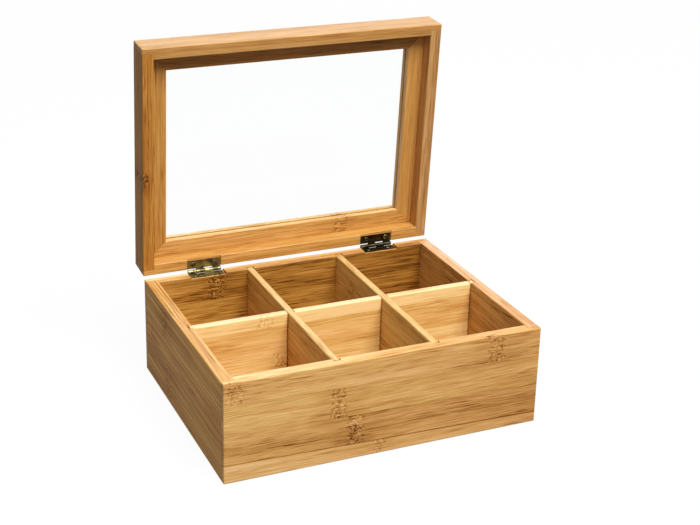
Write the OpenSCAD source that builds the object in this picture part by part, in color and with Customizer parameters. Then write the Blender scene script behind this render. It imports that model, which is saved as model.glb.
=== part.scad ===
// Tea bag organizer box: a bamboo case with six compartments and a hinged lid with a window.
// Sizes are in millimetres. The origin is at the middle of the underside, X runs to the right,
// Y to the back and Z up. The lid is drawn open, as it stands against the stop of its hinges.

/* [Box] */
// Outer width of the box, left to right
box_w = 217; // [190:1:265]
// Outer depth of the box, front to back
box_d = 164; // [135:1:200]
// Height of the box walls
box_h = 68; // [50:1:90]
// Thickness of the four walls
wall = 8; // [7:0.5:10]
// Thickness of the front and back panels where they lap over a side panel's end
lap_t = 4; // [3:0.5:5]
// Thickness of the bottom panel
bottom_t = 4; // [3:0.5:6]
// How far the bottom panel reaches in under each wall
bottom_lap = 4; // [2:0.5:5]

/* [Dividers] */
// Thickness of the three dividers
divider_t = 5; // [4:0.5:6.5]
// Width of the left compartments
left_cell_w = 65; // [50:1:75]
// Width of the middle compartments
middle_cell_w = 63; // [50:1:75]
// Depth of the front compartments
front_cell_d = 71.5; // [50:0.5:80]
// How far the tops of the dividers lie below the rim
divider_drop = 0.4; // [0.2:0.1:3]
// Depth of the grooves in the walls that hold the dividers
groove_depth = 3.2; // [2:0.1:4]
// Gap between the groove's end and the back or right end of a divider
seat_gap = 0.2; // [0.1:0.1:0.5]
// Gap at the front or left end of a divider, which shows as a small dark notch
notch_gap = 1.4; // [0.5:0.1:1.6]
// Play on each side of a divider in its groove or slot
divider_play = 0.05; // [0.03:0.01:0.1]

/* [Lid] */
// Height of the lid's rails
lid_h = 20; // [17:0.5:30]
// Thickness of the lid's rails
lid_wall = 8; // [7:0.5:10]
// Thickness of the lid's front and back rails where they lap over a side rail's end
lid_lap_t = 4; // [3:0.5:5]
// Gap between the box's rim and the lid's rim when the lid is shut
rim_gap = 0.4; // [0.3:0.1:0.5]
// Angle from shut to open at which the hinges stop the lid
open_angle = 86; // [80:1:95]

/* [Window] */
// Width of the bars that frame the window
bar_w = 11.5; // [8:0.5:16]
// How deep the bars lie inside the lid's rim
bar_recess = 10; // [6:0.5:11]
// Thickness of the clear pane
pane_t = 2; // [1.5:0.1:2.5]
// How far the pane reaches into each bar
pane_bite = 3.6; // [2:0.1:5]
// Play between each face of the pane and its groove
pane_play = 0.1; // [0.05:0.05:0.2]
// Gap between the pane's edge and the bottom of its groove
pane_end_gap = 0.4; // [0.2:0.1:1]

/* [Hinges] */
// Length of the hinges along their pins
hinge_len = 24; // [20:1:30]
// Distance from the box's left end to the middle of the left hinge
hinge_inset_left = 44; // [30:1:60]
// Distance from the box's right end to the middle of the right hinge
hinge_inset_right = 40.5; // [30:0.5:60]
// Thickness of the hinge leaves
leaf_t = 0.7; // [0.6:0.1:0.8]
// Distance from the pin's axis to the free edge of a leaf
leaf_reach = 8; // [7:0.1:8.5]
// Diameter of the hinge pins
pin_d = 1.5; // [1.3:0.1:1.8]
// Running clearance around a hinge pin
pin_play = 0.05; // [0.03:0.01:0.08]
// Gap between neighbouring knuckles
knuckle_gap = 0.2; // [0.15:0.05:0.4]
// Distance from the box's back face to the pin's axis
axis_back = 1.5; // [1.4:0.1:2]
// How far the pin's axis lies below the box's rim
axis_drop = 0.2; // [0:0.1:0.4]
// Gap between a leaf's end and the end of its pocket in the lid
pocket_play = 0.5; // [0.3:0.1:1]
// Rounding where the bottom of a pocket in the box meets its ends
pocket_r = 1; // [0.5:0.1:1.4]
// Gap between a leaf's end and that rounding
corner_play = 0.1; // [0.05:0.05:0.5]

/* [Screws] */
// Distance between the two screws of a leaf
screw_spread = 15.5; // [10:0.5:17]
// Distance from the pin's axis to the screws
screw_reach = 5.1; // [4.6:0.1:5.6]
// Diameter of a screw's head
screw_head_d = 3.4; // [3:0.1:3.8]
// Diameter of a screw's shank
screw_d = 1.8; // [1.5:0.1:2]
// Length of a screw under the leaf
screw_len = 8; // [6:0.5:10]
// Height of the head's dome above the leaf
screw_dome = 0.3; // [0.1:0.05:0.35]
// Clearance around a screw in the leaf and in the wood
screw_fit = 0.05; // [0.03:0.01:0.1]

/* [Edges] */
// Size of the eased edges of the walls and rails
ease = 0.5; // [0.2:0.1:1]
// Size of the eased edges along the tops of the dividers
divider_ease = 0.6; // [0.2:0.1:1.2]

/* [Hidden] */
$fn = 48;
bamboo = "burlywood";
strip_light = "wheat";
strip_dark = "tan";
brass = "darkgoldenrod";
steel = "goldenrod";
glass = "aliceblue";

// How far a cut runs past the face it starts from
over = 1;
half_w = box_w / 2;
half_d = box_d / 2;
// Inner faces of the walls
in_x = half_w - wall;
in_y = half_d - wall;
// Ends of the side panels, inside the laps
lap_y = half_d - lap_t;
bottom_x = in_x + bottom_lap;
bottom_y = in_y + bottom_lap;

// Middles of the two front-to-back dividers and of the cross divider
divider_x = [
    -in_x + left_cell_w + divider_t / 2,
    -in_x + left_cell_w + divider_t + middle_cell_w + divider_t / 2
];
cross_y = -in_y + front_cell_d + divider_t / 2;
divider_h = box_h - divider_drop - bottom_t;
// Half the width of a groove or slot that holds a divider
slot_half = divider_t / 2 + divider_play;
// Height at which the slots of crossing dividers meet
slot_z = bottom_t + divider_h / 2;

// Inner faces of the lid's rails, and the lid's rim and top when it is shut
lid_in_x = half_w - lid_wall;
lid_in_y = half_d - lid_wall;
lid_lap_y = half_d - lid_lap_t;
lid_z = box_h + rim_gap;
lid_top = lid_z + lid_h;
bar_z = lid_z + bar_recess;
opening_x = lid_in_x - bar_w;
opening_y = lid_in_y - bar_w;
pane_z = (bar_z + lid_top) / 2;

// Hinge axis, and the sizes that follow from the pin
axis_y = half_d + axis_back;
axis_z = box_h - axis_drop;
pin_r = pin_d / 2;
bore_r = pin_r + pin_play;
knuckle_r = bore_r + leaf_t;
knuckle_count = 4;
knuckle_pitch = hinge_len / knuckle_count;
knuckle_len = knuckle_pitch - knuckle_gap;
// A leaf lies this far inside the tangent of its knuckles
leaf_lift = 0.05;
leaf_z = -knuckle_r + leaf_lift;
// Room between a leaf's notch and the other leaf's knuckle
notch_play = 0.6;
notch_reach = knuckle_r + notch_play;
// A knuckle's strap runs this far into the leaf
strap_join = 0.5;
box_pocket_z = axis_z + leaf_z;
lid_pocket_z = axis_z - leaf_z;
left_hinge_x = -half_w + hinge_inset_left;
right_hinge_x = half_w - hinge_inset_right;
box_knuckles = [0, 2];
lid_knuckles = [1, 3];

screw_r = screw_d / 2;
screw_head_r = screw_head_d / 2;
screw_tip = 1.5;
// The flat middle of the dome, as a share of the head
crown_share = 0.6;
screw_crown_r = crown_share * screw_head_r;
// The hole in the wood runs this far past the screw's tip
pilot_end = 0.5;
// The cross cut in a screw's head
cross_w = 0.5;
cross_len = 2;
cross_depth = 0.6;

// A block from its lowest corner to its highest
module block(low, high) {
    translate(low)
        cube(high - low);
}

// Outline of a block with its four corners eased, middle at the origin
module eased_outline(a, b) {
    polygon([
        [-a / 2 + ease, -b / 2], [a / 2 - ease, -b / 2],
        [a / 2, -b / 2 + ease], [a / 2, b / 2 - ease],
        [a / 2 - ease, b / 2], [-a / 2 + ease, b / 2],
        [-a / 2, b / 2 - ease], [-a / 2, -b / 2 + ease]
    ]);
}

// A case of the box's width and depth with every outer edge eased, its underside at z
module eased_case(z, h) {
    translate([0, 0, z + h / 2])
        intersection() {
            translate([0, 0, -h / 2])
                linear_extrude(h)
                    eased_outline(box_w, box_d);
            translate([-half_w, 0, 0])
                rotate([90, 0, 90])
                    linear_extrude(box_w)
                        eased_outline(box_d, h);
            translate([0, half_d, 0])
                rotate([90, 0, 0])
                    linear_extrude(box_d)
                        eased_outline(box_w, h);
        }
}

// Cutter that eases an edge running along X
module ease_along_x(length, y, z) {
    translate([0, y, z])
        rotate([45, 0, 0])
            cube([length, ease * sqrt(2), ease * sqrt(2)], center = true);
}

// Cutter that eases an edge running along Y
module ease_along_y(length, x, z) {
    translate([x, 0, z])
        rotate([0, 45, 0])
            cube([ease * sqrt(2), length, ease * sqrt(2)], center = true);
}

// The space that the bottom panel fills, open below
module bottom_recess() {
    block([-bottom_x, -bottom_y, -over], [bottom_x, bottom_y, bottom_t]);
}

// Front panel, or back panel with side = 1, without the cuts of its own
module long_panel(side) {
    y_out = side * (half_d + over);
    y_in = side * in_y;
    y_lap = side * lap_y;
    difference() {
        intersection() {
            block(
                [-half_w - over, min(y_out, y_in), -over],
                [half_w + over, max(y_out, y_in), box_h + over]
            );
            eased_case(0, box_h);
        }
        for (end = [-1, 1])
            block(
                [min(end * in_x, end * (half_w + over)), min(y_lap, y_in - side * over), -over],
                [max(end * in_x, end * (half_w + over)), max(y_lap, y_in - side * over), box_h + over]
            );
        bottom_recess();
        ease_along_x(2 * in_x, y_in, box_h);
        for (x = divider_x)
            block(
                [x - slot_half, min(y_in - side * over, y_in + side * groove_depth), bottom_t],
                [x + slot_half, max(y_in - side * over, y_in + side * groove_depth), box_h + over]
            );
    }
}

// Left side panel, or right side panel with side = 1
module short_panel(side) {
    x_out = side * (half_w + over);
    x_in = side * in_x;
    x_back = x_in - side * over;
    x_groove = x_in + side * groove_depth;
    difference() {
        intersection() {
            block([min(x_out, x_in), -lap_y, -over], [max(x_out, x_in), lap_y, box_h + over]);
            eased_case(0, box_h);
        }
        bottom_recess();
        ease_along_y(2 * in_y, x_in, box_h);
        block(
            [min(x_back, x_groove), cross_y - slot_half, bottom_t],
            [max(x_back, x_groove), cross_y + slot_half, box_h + over]
        );
    }
}

// Pocket for a hinge leaf across the top of the back panel, with rounded bottom corners
module box_pocket(x) {
    pocket_half = hinge_len / 2 + corner_play + pocket_r;
    flat_half = pocket_half - pocket_r;
    front = in_y - over;
    back = half_d + over;
    block([x - pocket_half, front, box_pocket_z + pocket_r], [x + pocket_half, back, box_h + over]);
    block([x - flat_half, front, box_pocket_z], [x + flat_half, back, box_h + over]);
    for (end = [-1, 1])
        translate([x + end * flat_half, back, box_pocket_z + pocket_r])
            rotate([90, 0, 0])
                cylinder(h = back - front, r = pocket_r);
}

module front_panel() {
    color(bamboo)
        long_panel(-1);
}

module back_panel() {
    color(bamboo)
        difference() {
            long_panel(1);
            for (x = [left_hinge_x, right_hinge_x]) {
                box_pocket(x);
                translate([x, axis_y, axis_z])
                    pilot_holes();
            }
        }
}

module left_side_panel() {
    color(strip_dark)
        short_panel(-1);
}

module right_side_panel() {
    color(strip_dark)
        short_panel(1);
}

module bottom_panel() {
    color(strip_dark)
        block([-bottom_x, -bottom_y, 0], [bottom_x, bottom_y, bottom_t]);
}

// End view of a divider, standing on the X axis
module divider_outline() {
    polygon([
        [-divider_t / 2, 0], [divider_t / 2, 0],
        [divider_t / 2, divider_h - divider_ease], [divider_t / 2 - divider_ease, divider_h],
        [-divider_t / 2 + divider_ease, divider_h], [-divider_t / 2, divider_h - divider_ease]
    ]);
}

// A front-to-back divider, slotted from below over the cross divider
module long_divider(x) {
    back_end = in_y + groove_depth - seat_gap;
    front_end = -in_y - groove_depth + notch_gap;
    difference() {
        translate([x, back_end, bottom_t])
            rotate([90, 0, 0])
                linear_extrude(back_end - front_end)
                    divider_outline();
        block(
            [x - divider_t, cross_y - slot_half, bottom_t - over],
            [x + divider_t, cross_y + slot_half, slot_z + divider_play]
        );
    }
}

module left_divider() {
    color(strip_light)
        long_divider(divider_x[0]);
}

module right_divider() {
    color(strip_light)
        long_divider(divider_x[1]);
}

// The cross divider is slotted from above under the other two
module cross_divider() {
    right_end = in_x + groove_depth - seat_gap;
    left_end = -in_x - groove_depth + notch_gap;
    color(strip_light)
        difference() {
            translate([left_end, cross_y, bottom_t])
                rotate([90, 0, 90])
                    linear_extrude(right_end - left_end)
                        divider_outline();
            for (x = divider_x)
                block(
                    [x - slot_half, cross_y - divider_t, slot_z - divider_play],
                    [x + slot_half, cross_y + divider_t, box_h + over]
                );
        }
}

// One knuckle with the strap that joins it to its leaf, from x on
module knuckle(x) {
    translate([x, 0, 0]) {
        rotate([0, 90, 0])
            cylinder(h = knuckle_len, r = knuckle_r);
        block([0, -notch_reach - strap_join, leaf_z], [knuckle_len, 0, leaf_z + leaf_t]);
    }
}

// Countersunk hole in a leaf, its underside at z = 0
module leaf_hole() {
    rotate_extrude()
        polygon([
            [0, -over], [screw_r + screw_fit, -over], [screw_r + screw_fit, 0],
            [screw_head_r + screw_fit, leaf_t], [screw_head_r + screw_fit, leaf_t + over],
            [0, leaf_t + over]
        ]);
}

// Places a child at each screw of a leaf, on the leaf's underside
module at_screws() {
    for (end = [-1, 1])
        translate([end * screw_spread / 2, -screw_reach, leaf_z])
            children();
}

// A hinge leaf below the axis, reaching towards -Y, with the knuckles that are given
module hinge_leaf(knuckles) {
    difference() {
        union() {
            block([-hinge_len / 2, -leaf_reach, leaf_z], [hinge_len / 2, -notch_reach, leaf_z + leaf_t]);
            for (i = knuckles)
                knuckle(-hinge_len / 2 + i * knuckle_pitch + knuckle_gap / 2);
        }
        rotate([0, 90, 0])
            cylinder(h = hinge_len + 2 * over, r = bore_r, center = true);
        at_screws()
            leaf_hole();
    }
}

// The two holes in the wood under a leaf
module pilot_holes() {
    at_screws()
        translate([0, 0, -screw_len - pilot_end])
            cylinder(h = screw_len + pilot_end + over, r = screw_r + screw_fit);
}

// A wood screw with its countersunk head in a leaf, the leaf's underside at z = 0
module screw() {
    difference() {
        rotate_extrude()
            polygon([
                [0, -screw_len], [screw_r, -screw_len + screw_tip], [screw_r, 0],
                [screw_head_r, leaf_t], [screw_crown_r, leaf_t + screw_dome],
                [0, leaf_t + screw_dome]
            ]);
        for (turn = [0, 90])
            rotate([0, 0, turn])
                translate([0, 0, leaf_t + screw_dome])
                    cube([cross_len, cross_w, 2 * cross_depth], center = true);
    }
}

// Places a child at the hinge axis of the box, above the given x
module on_box(x) {
    translate([x, axis_y, axis_z])
        children();
}

// Turns what is drawn for the shut lid to where the open lid stands
module open_lid() {
    translate([0, axis_y, axis_z])
        rotate([-open_angle, 0, 0])
            translate([0, -axis_y, -axis_z])
                children();
}

// Places a child at the hinge axis of the lid, upside down, and opens it with the lid
module on_lid(x) {
    open_lid()
        translate([x, axis_y, axis_z])
            mirror([0, 0, 1])
                children();
}

module hinge_pin() {
    rotate([0, 90, 0])
        cylinder(h = hinge_len, r = pin_r, center = true);
}

module left_hinge_box_leaf() {
    color(brass)
        on_box(left_hinge_x)
            hinge_leaf(box_knuckles);
}

module right_hinge_box_leaf() {
    color(brass)
        on_box(right_hinge_x)
            hinge_leaf(box_knuckles);
}

module left_hinge_pin() {
    color(steel)
        on_box(left_hinge_x)
            hinge_pin();
}

module right_hinge_pin() {
    color(steel)
        on_box(right_hinge_x)
            hinge_pin();
}

module left_hinge_box_screws() {
    color(steel)
        on_box(left_hinge_x)
            at_screws()
                screw();
}

module right_hinge_box_screws() {
    color(steel)
        on_box(right_hinge_x)
            at_screws()
                screw();
}

module left_hinge_lid_leaf() {
    color(brass)
        on_lid(left_hinge_x)
            hinge_leaf(lid_knuckles);
}

module right_hinge_lid_leaf() {
    color(brass)
        on_lid(right_hinge_x)
            hinge_leaf(lid_knuckles);
}

module left_hinge_lid_screws() {
    color(steel)
        on_lid(left_hinge_x)
            at_screws()
                screw();
}

module right_hinge_lid_screws() {
    color(steel)
        on_lid(right_hinge_x)
            at_screws()
                screw();
}

// Front rail of the shut lid, or back rail with side = 1
module long_rail(side) {
    y_out = side * (half_d + over);
    y_in = side * lid_in_y;
    y_lap = side * lid_lap_y;
    difference() {
        intersection() {
            block(
                [-half_w - over, min(y_out, y_in), lid_z - over],
                [half_w + over, max(y_out, y_in), lid_top + over]
            );
            eased_case(lid_z, lid_h);
        }
        for (end = [-1, 1])
            block(
                [min(end * lid_in_x, end * (half_w + over)), min(y_lap, y_in - side * over), lid_z - over],
                [max(end * lid_in_x, end * (half_w + over)), max(y_lap, y_in - side * over), lid_top + over]
            );
        ease_along_x(2 * lid_in_x, y_in, lid_z);
    }
}

// Left rail of the shut lid, or right rail with side = 1
module short_rail(side) {
    x_out = side * (half_w + over);
    x_in = side * lid_in_x;
    difference() {
        intersection() {
            block(
                [min(x_out, x_in), -lid_lap_y, lid_z - over],
                [max(x_out, x_in), lid_lap_y, lid_top + over]
            );
            eased_case(lid_z, lid_h);
        }
        ease_along_y(2 * lid_in_y, x_in, lid_z);
    }
}

module lid_front_rail() {
    color(bamboo)
        open_lid()
            long_rail(-1);
}

module lid_back_rail() {
    color(bamboo)
        open_lid()
            difference() {
                long_rail(1);
                for (x = [left_hinge_x, right_hinge_x]) {
                    block(
                        [x - hinge_len / 2 - pocket_play, lid_in_y - over, lid_z - over],
                        [x + hinge_len / 2 + pocket_play, half_d + over, lid_pocket_z]
                    );
                    translate([x, axis_y, axis_z])
                        mirror([0, 0, 1])
                            pilot_holes();
                }
            }
}

module lid_left_rail() {
    color(strip_dark)
        open_lid()
            short_rail(-1);
}

module lid_right_rail() {
    color(strip_dark)
        open_lid()
            short_rail(1);
}

// The groove in the bars that holds the pane
module pane_groove() {
    groove_x = opening_x + pane_bite + pane_end_gap;
    groove_y = opening_y + pane_bite + pane_end_gap;
    groove_half = pane_t / 2 + pane_play;
    block([-groove_x, -groove_y, pane_z - groove_half], [groove_x, groove_y, pane_z + groove_half]);
}

// The bar in front of the window, or behind it with side = 1, with mitred ends
module long_bar(side) {
    difference() {
        translate([0, 0, bar_z])
            linear_extrude(lid_top - bar_z)
                polygon([
                    [-lid_in_x, side * lid_in_y], [lid_in_x, side * lid_in_y],
                    [opening_x, side * opening_y], [-opening_x, side * opening_y]
                ]);
        pane_groove();
        for (z = [bar_z, lid_top])
            ease_along_x(box_w, side * opening_y, z);
    }
}

// The bar to the left of the window, or to the right with side = 1, with mitred ends
module short_bar(side) {
    difference() {
        translate([0, 0, bar_z])
            linear_extrude(lid_top - bar_z)
                polygon([
                    [side * lid_in_x, -lid_in_y], [side * lid_in_x, lid_in_y],
                    [side * opening_x, opening_y], [side * opening_x, -opening_y]
                ]);
        pane_groove();
        for (z = [bar_z, lid_top])
            ease_along_y(box_d, side * opening_x, z);
    }
}

module window_front_bar() {
    color(strip_light)
        open_lid()
            long_bar(-1);
}

module window_back_bar() {
    color(strip_light)
        open_lid()
            long_bar(1);
}

module window_left_bar() {
    color(strip_light)
        open_lid()
            short_bar(-1);
}

module window_right_bar() {
    color(strip_light)
        open_lid()
            short_bar(1);
}

module window_pane() {
    pane_x = opening_x + pane_bite;
    pane_y = opening_y + pane_bite;
    color(glass, 0.4)
        open_lid()
            block([-pane_x, -pane_y, pane_z - pane_t / 2], [pane_x, pane_y, pane_z + pane_t / 2]);
}

front_panel();
back_panel();
left_side_panel();
right_side_panel();
bottom_panel();
left_divider();
right_divider();
cross_divider();
left_hinge_box_leaf();
right_hinge_box_leaf();
left_hinge_pin();
right_hinge_pin();
left_hinge_box_screws();
right_hinge_box_screws();
lid_front_rail();
lid_back_rail();
lid_left_rail();
lid_right_rail();
window_front_bar();
window_back_bar();
window_left_bar();
window_right_bar();
window_pane();
left_hinge_lid_leaf();
right_hinge_lid_leaf();
left_hinge_lid_screws();
right_hinge_lid_screws();
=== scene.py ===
"""Tea bag organizer box of laminated bamboo with a hinged window lid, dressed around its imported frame.

Lengths are in metres where meshes are made, and in millimetres inside the materials, whose patterns follow
the boards' grain. The lid's patterns are laid out on the shut lid and turned with it.
"""
import logging
import math
from collections.abc import Callable
from dataclasses import dataclass, field, replace
from enum import Enum

import bpy
from mathutils import Matrix, Vector


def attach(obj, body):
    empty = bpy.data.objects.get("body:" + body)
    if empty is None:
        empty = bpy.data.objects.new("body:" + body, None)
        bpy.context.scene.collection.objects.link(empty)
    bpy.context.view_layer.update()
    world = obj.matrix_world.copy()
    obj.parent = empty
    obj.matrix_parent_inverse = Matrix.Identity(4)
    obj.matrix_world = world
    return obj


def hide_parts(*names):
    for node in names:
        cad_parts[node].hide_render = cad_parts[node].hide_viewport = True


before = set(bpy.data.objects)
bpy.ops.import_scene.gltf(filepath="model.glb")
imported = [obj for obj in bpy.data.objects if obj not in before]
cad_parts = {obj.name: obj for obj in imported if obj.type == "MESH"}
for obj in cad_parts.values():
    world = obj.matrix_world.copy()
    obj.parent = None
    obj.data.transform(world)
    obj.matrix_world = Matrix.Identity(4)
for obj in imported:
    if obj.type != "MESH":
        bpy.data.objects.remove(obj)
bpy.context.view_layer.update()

log = logging.getLogger("tea_box")
MM = 0.001
HINGE_Y_MM, HINGE_Z_MM = 83.5, 67.8
OPEN_DEG = 86.0
LID_CAST = (1.0, 0.97, 0.8)
WELD_MM = 0.003
CAD_WELD_MM = 0.001
FLAT_DEG = 0.5
SMOOTH_DEG = 35.0
SQUARE_ON = 0.9
BEYOND_GLUE_MM = 9.0

Piece = bpy.types.Object
Material = bpy.types.Material
Socket = bpy.types.NodeSocket
Triple = tuple[float, float, float]
Range = tuple[float, float]
Tint = tuple[float, float, float, float]
Chip = tuple[int, int, int]
Stops = tuple[tuple[float, Chip], ...]


def srgb(red: int, green: int, blue: int) -> Tint:
    """Linear colour of a paint chip given in screen values.

    Args:
        red, green, blue: Screen values from 0 to 255.

    Returns:
        The same colour in linear light, with full alpha.
    """
    def linear(value: int) -> float:
        """One screen value in linear light."""
        share = value / 255
        return share / 12.92 if share <= 0.04045 else ((share + 0.055) / 1.055) ** 2.4

    return (linear(red), linear(green), linear(blue), 1.0)


class Graph:
    """The node tree of one material or of the world, written from left to right."""

    def __init__(self, name: str, world: bool = False) -> None:
        """Makes an empty material or world.

        Args:
            name: Its name.
            world: Makes a world.
        """
        self.world = world
        self.owner = (bpy.data.worlds if world else bpy.data.materials).new(name)
        self.owner.use_nodes = True
        self.tree = self.owner.node_tree
        self.tree.nodes.clear()

    def node(self, kind: str, **settings: object) -> bpy.types.Node:
        """Adds a node.

        Args:
            kind: The node's type.
            settings: Properties to set on it.

        Returns:
            The new node.
        """
        made = self.tree.nodes.new(kind)
        for key, value in settings.items():
            setattr(made, key, value)
        return made

    def feed(self, socket: Socket, value: object) -> None:
        """Gives an input a link or a plain value.

        Args:
            socket: The input.
            value: Another node's output, or a value.
        """
        if isinstance(value, bpy.types.NodeSocket):
            self.tree.links.new(value, socket)
        else:
            socket.default_value = value

    def filled(self, kind: str, values: dict[str | int, object], **settings: object) -> Socket:
        """Adds a node and fills its inputs.

        Args:
            kind: The node's type.
            values: What each input is given, by its name or number.
            settings: Properties to set on the node.

        Returns:
            Its first output.
        """
        made = self.node(kind, **settings)
        for key, value in values.items():
            self.feed(made.inputs[key], value)
        return made.outputs[0]

    def lined(self, kind: str, *values: object, **settings: object) -> Socket:
        """The first output of a new node whose inputs take these values in order."""
        return self.filled(kind, dict(enumerate(values)), **settings)

    def math(self, operation: str, *values: object) -> Socket:
        """Result of a Math node on these values."""
        return self.lined("ShaderNodeMath", *values, operation=operation)

    def plus(self, total: object, signal: object, weight: object = 1.0) -> Socket:
        """The total with a signal added at its weight."""
        return self.math("MULTIPLY_ADD", signal, weight, total)

    def summed(self, total: object, *parts: tuple[object, float]) -> Socket:
        """Adds several signals to a total.

        Args:
            total: What they are added to.
            parts: Each signal with its weight.

        Returns:
            The sum.
        """
        for signal, weight in parts:
            total = self.plus(total, signal, weight)
        return total

    def minus(self, first: object, second: object) -> Socket:
        """The first value less the second."""
        return self.math("SUBTRACT", first, second)

    def times(self, first: object, second: object) -> Socket:
        """The product of two values."""
        return self.math("MULTIPLY", first, second)

    def over(self, first: object, second: object) -> Socket:
        """The first value divided by the second."""
        return self.math("DIVIDE", first, second)

    def apart(self, first: object, second: object) -> Socket:
        """How far two values are apart."""
        return self.math("ABSOLUTE", self.minus(first, second))

    def same(self, value: object, number: int) -> Socket:
        """1 where a whole value is this number, or else 0."""
        return self.math("COMPARE", value, float(number), 0.5)

    def scaled(self, vector: Socket, factor: float) -> Socket:
        """The vector times a factor."""
        return self.filled("ShaderNodeVectorMath", {"Vector": vector, "Scale": factor}, operation="SCALE")

    def turned(self, vector: Socket, centre: Triple, degrees: float) -> Socket:
        """The vector turned about the X axis through centre."""
        values = {"Vector": vector, "Center": centre, "Angle": math.radians(degrees)}
        return self.filled("ShaderNodeVectorRotate", values, rotation_type="X_AXIS")

    def split(self, vector: Socket) -> dict[str, Socket]:
        """The vector's three parts by axis letter."""
        made = self.filled("ShaderNodeSeparateXYZ", {"Vector": vector}).node
        return {axis: made.outputs[axis] for axis in "XYZ"}

    def joined(self, *parts: object) -> Socket:
        """A vector from its three parts."""
        return self.lined("ShaderNodeCombineXYZ", *parts)

    def noise(self, vector: Socket, detail: float, distortion: float = 0.0) -> Socket:
        """Smooth noise over the vector, one grain to a unit, mostly from 0.25 to 0.75."""
        values = {"Vector": vector, "Scale": 1.0, "Detail": detail, "Distortion": distortion}
        return self.filled("ShaderNodeTexNoise", values, noise_dimensions="3D")

    def swing(self, vector: Socket, detail: float) -> Socket:
        """The same noise about zero."""
        return self.minus(self.noise(vector, detail), 0.5)

    def ranged(self, value: Socket, low: float, high: float, *onto: float) -> Socket:
        """Value carried smoothly from the range low to high onto 0 to 1, or onto another range."""
        return self.lined("ShaderNodeMapRange", value, low, high, *onto, interpolation_type="SMOOTHSTEP")

    def ramp(self, value: Socket, stops: Stops) -> Socket:
        """Colour that the value stands for on a ramp.

        Args:
            value: From 0 to 1.
            stops: Each stop's position and screen colour.

        Returns:
            The colour.
        """
        made = self.node("ShaderNodeValToRGB")
        elements = made.color_ramp.elements
        while len(elements) < len(stops):
            elements.new(1.0)
        for element, (position, chip) in zip(elements, stops):
            element.position = position
            element.color = srgb(*chip)
        self.feed(made.inputs[0], value)
        return made.outputs[0]

    def mixed(self, factor: object, first: object, second: object, blend: str = "MIX") -> Socket:
        """Mixes two colours.

        Args:
            factor: Share of the second colour.
            first, second: The colours.
            blend: The Mix node's way of mixing.

        Returns:
            The mixed colour.
        """
        made = self.node("ShaderNodeMix", data_type="RGBA", blend_type=blend)
        self.feed(made.inputs["Factor"], factor)
        colours = [s for s in made.inputs if s.type == "RGBA"]
        self.feed(colours[0], first)
        self.feed(colours[1], second)
        return next(s for s in made.outputs if s.type == "RGBA")

    def blended(self, factor: object, first: Socket, second: Socket) -> Socket:
        """Two shaders mixed, the factor being the second one's share."""
        return self.lined("ShaderNodeMixShader", factor, first, second)

    def bump(self, height: Socket, strength: float, distance: float) -> Socket:
        """Normal of a surface with this relief, its distance in metres."""
        return self.filled("ShaderNodeBump", {"Strength": strength, "Distance": distance, "Height": height})

    def seen_straight(self) -> Socket:
        """Tells what is looked at from what only lights a dull surface.

        Returns:
            1 for what the camera, a mirror or a clear pane shows, or else 0.
        """
        rays = self.node("ShaderNodeLightPath").outputs
        shown = self.math("MAXIMUM", rays["Is Camera Ray"], rays["Is Glossy Ray"])
        shown = self.math("MAXIMUM", shown, rays["Is Transmission Ray"])
        return self.times(shown, self.math("LESS_THAN", rays["Diffuse Depth"], 0.5))

    def output(self, shader: Socket) -> Material | bpy.types.World:
        """Ends the tree.

        Args:
            shader: What its surface shows.

        Returns:
            The finished material or world.
        """
        made = self.node("ShaderNodeOutputWorld" if self.world else "ShaderNodeOutputMaterial")
        self.feed(made.inputs["Surface"], shader)
        return self.owner


class Grain(Enum):
    """How a board's grain lies: the axes along it, across its strips and through its plies."""

    WIDE_UPRIGHT = ("X", "Z", "Y")
    DEEP_UPRIGHT = ("Y", "Z", "X")
    WIDE_FLAT = ("X", "Y", "Z")
    DEEP_FLAT = ("Y", "X", "Z")


@dataclass(frozen=True)
class CaneNode:
    """A ring of the bamboo cane that crosses one strip of one ply.

    It lies at a place along the board, on the strip of a number, and on the ply past the ply joint where
    far_ply is set.
    """

    along: float
    strip: int
    length: float = 11.0
    strength: float = 1.0
    far_ply: bool = False


@dataclass(frozen=True)
class BoardLook:
    """The grain of one board, in millimetres.

    Strips are numbered upwards from strip_edge, and strip_tones brightens or darkens strips from number
    first_tone on. The far ply is the one past the ply joint, fade is the tone lost per millimetre along,
    and stretch lengthens the fibres. A rim is a face across the strips, such as the top of a wall, whose
    own tone and cast are partly its edge grain and partly painted light, a paler, whiter sheen for the
    lamps and the varnish's reflection. The cast is a factor on the colour. The places along the board where
    another board's glued edge stands against it get a dark line of painted shade in the inside corner, and
    dark_seams are the strips whose lower glue line shows dark.
    """

    grain: Grain
    strip_edge: float
    ply_joint: float | None
    seed: float
    strip_w: float = 20.2
    tilt: float = 0.0
    tone: float = 0.5
    contrast: float = 1.0
    warmth: float = 0.5
    far_ply_tone: float = 0.0
    fade: float = 0.0
    stretch: float = 1.0
    cast: Triple = (1.0, 1.0, 1.0)
    # A rim's tone and cast: partly its edge grain, partly a painted sheen of the lamps and the varnish
    rim_tone_and_sheen: float = 0.0
    rim_cast_and_sheen: Triple = (1.0, 0.98, 0.98)
    # Places where another board stands against this one, darkened there as painted shade in the inside
    # corner
    corner_shade_lines: tuple[float, ...] = ()
    dark_seams: tuple[int, ...] = ()
    first_tone: int = 0
    strip_tones: tuple[float, ...] = ()
    cane_nodes: tuple[CaneNode, ...] = ()
    on_lid: bool = False


@dataclass(frozen=True)
class Fibres:
    """One kind of fibre: its size in millimetres, how fine its detail is, and its weight in the tone.

    Where cut is set, only fibres stronger than its first number show, and fully from its second.
    """

    length: float
    width: float
    detail: float
    weight: float = 1.0
    cut: Range | None = None


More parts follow.
